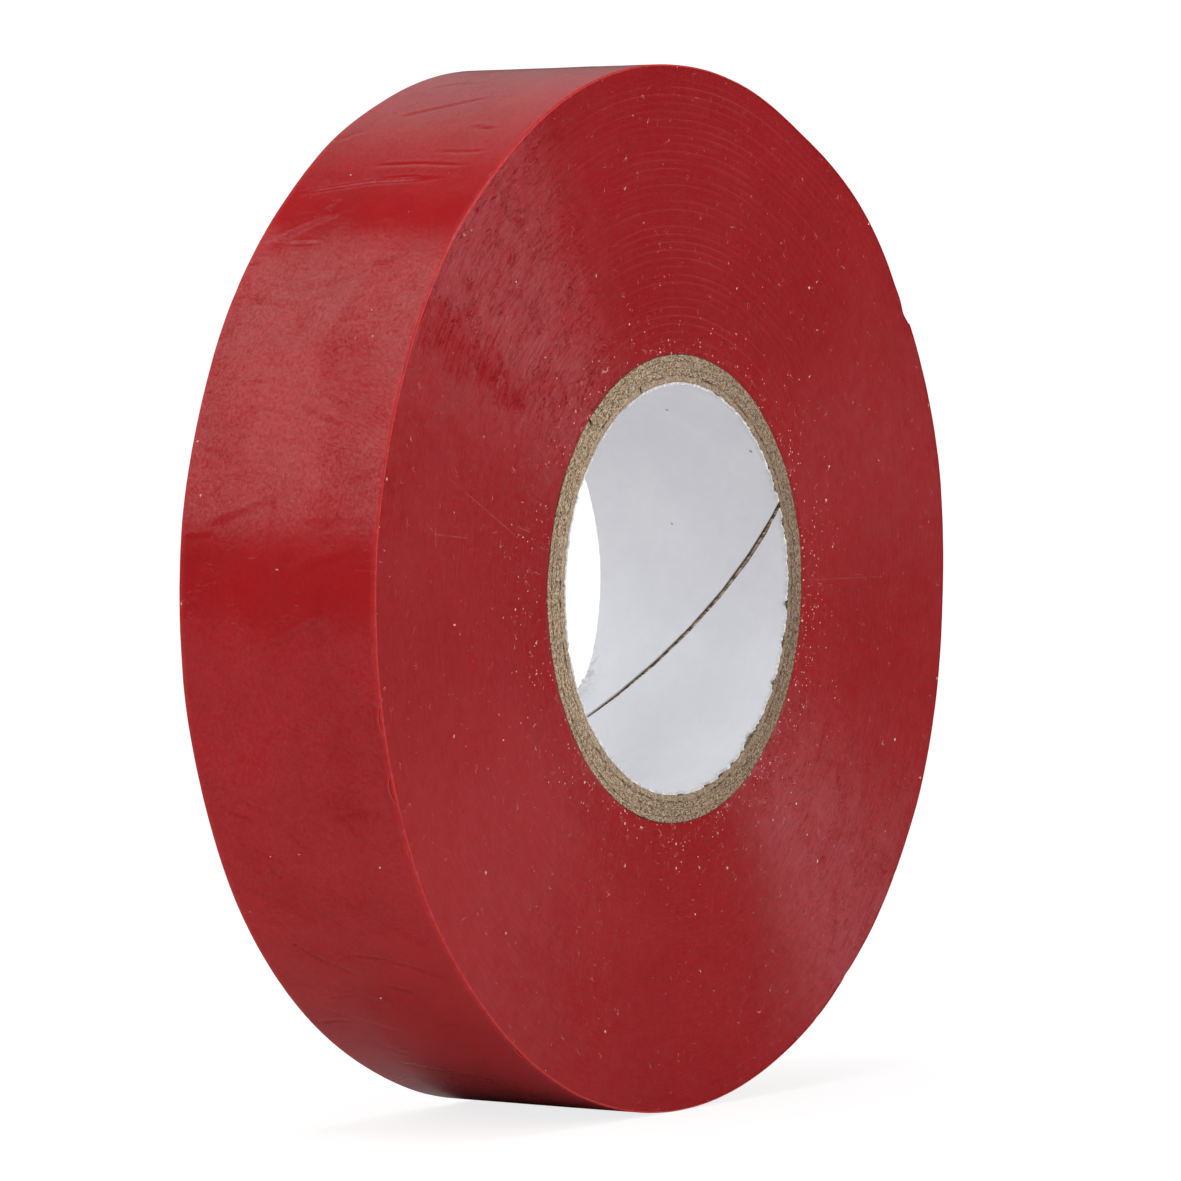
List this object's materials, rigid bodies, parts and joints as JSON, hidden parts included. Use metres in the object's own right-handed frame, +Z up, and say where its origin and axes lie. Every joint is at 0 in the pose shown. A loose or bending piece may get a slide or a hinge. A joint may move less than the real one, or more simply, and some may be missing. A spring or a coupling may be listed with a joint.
{
  "type": "electrical tape roll",
  "caption": "Full roll of red PVC electrical insulating tape on a spirally wound paperboard core, with a loose end that peels.",
  "frame": {"origin": "centre of the bore, half way across the tape's width", "axes": "+Y along the bore, from the front face to the back face; +Z up with the roll standing on its edge; +X to the right seen from the front"},
  "size_m": [0.0864, 0.019, 0.0863],
  "materials": {
    "liner_paper": "smooth white kraft paper",
    "core_chipboard": "raw cut chipboard",
    "tape_pvc": "satin-gloss plasticised PVC film"
  },
  "bodies": {
    "roll": {"core_liner": "liner_paper", "core_ply_1": "core_chipboard", "core_ply_2": "core_chipboard", "core_ply_3": "core_chipboard", "core_ply_4": "core_chipboard", "tape_pack": "tape_pvc", "tape_outer_wrap": "tape_pvc"},
    "tail_1": {"tape_tail_1": "tape_pvc"},
    "tail_2": {"tape_tail_2": "tape_pvc"},
    "tail_3": {"tape_tail_3": "tape_pvc"},
    "tail_4": {"tape_tail_4": "tape_pvc"},
    "tail_5": {"tape_tail_5": "tape_pvc"},
    "tail_6": {"tape_tail_6": "tape_pvc"},
    "tail_7": {"tape_tail_7": "tape_pvc"},
    "tail_8": {"tape_tail_8": "tape_pvc"}
  },
  "joints": [
    {"name": "tape_end_peel", "type": "hinge", "parent": "roll", "child": "tail_1", "pos_m": [0.04131, 0, -0.01263], "axis": [0, 1, 0], "range_deg": [0, 30]},
    {"name": "tape_end_bend_2", "type": "hinge", "parent": "tail_1", "child": "tail_2", "pos_m": [0.04241, 0, -0.00824], "axis": [0, 1, 0], "range_deg": [0, 30]},
    {"name": "tape_end_bend_3", "type": "hinge", "parent": "tail_2", "child": "tail_3", "pos_m": [0.04304, 0, -0.00377], "axis": [0, 1, 0], "range_deg": [0, 30]},
    {"name": "tape_end_bend_4", "type": "hinge", "parent": "tail_3", "child": "tail_4", "pos_m": [0.04319, 0, 0.00075], "axis": [0, 1, 0], "range_deg": [0, 20]},
    {"name": "tape_end_bend_5", "type": "hinge", "parent": "tail_4", "child": "tail_5", "pos_m": [0.04288, 0, 0.00526], "axis": [0, 1, 0], "range_deg": [0, 8]},
    {"name": "tape_end_bend_6", "type": "hinge", "parent": "tail_5", "child": "tail_6", "pos_m": [0.04209, 0, 0.00972], "axis": [0, 1, 0], "range_deg": [0, 6]},
    {"name": "tape_end_bend_7", "type": "hinge", "parent": "tail_6", "child": "tail_7", "pos_m": [0.04085, 0, 0.01406], "axis": [0, 1, 0], "range_deg": [0, 6]},
    {"name": "tape_end_bend_8", "type": "hinge", "parent": "tail_7", "child": "tail_8", "pos_m": [0.03915, 0, 0.01826], "axis": [0, 1, 0], "range_deg": [0, 6]}
  ],
  "couplings": [
    {"joint": "tape_end_bend_2", "follows": "tape_end_peel", "ratio": 1},
    {"joint": "tape_end_bend_3", "follows": "tape_end_peel", "ratio": 1},
    {"joint": "tape_end_bend_4", "follows": "tape_end_peel", "ratio": 0.66667},
    {"joint": "tape_end_bend_5", "follows": "tape_end_peel", "ratio": 0.26667},
    {"joint": "tape_end_bend_6", "follows": "tape_end_peel", "ratio": 0.2},
    {"joint": "tape_end_bend_7", "follows": "tape_end_peel", "ratio": 0.2},
    {"joint": "tape_end_bend_8", "follows": "tape_end_peel", "ratio": 0.2}
  ]
}
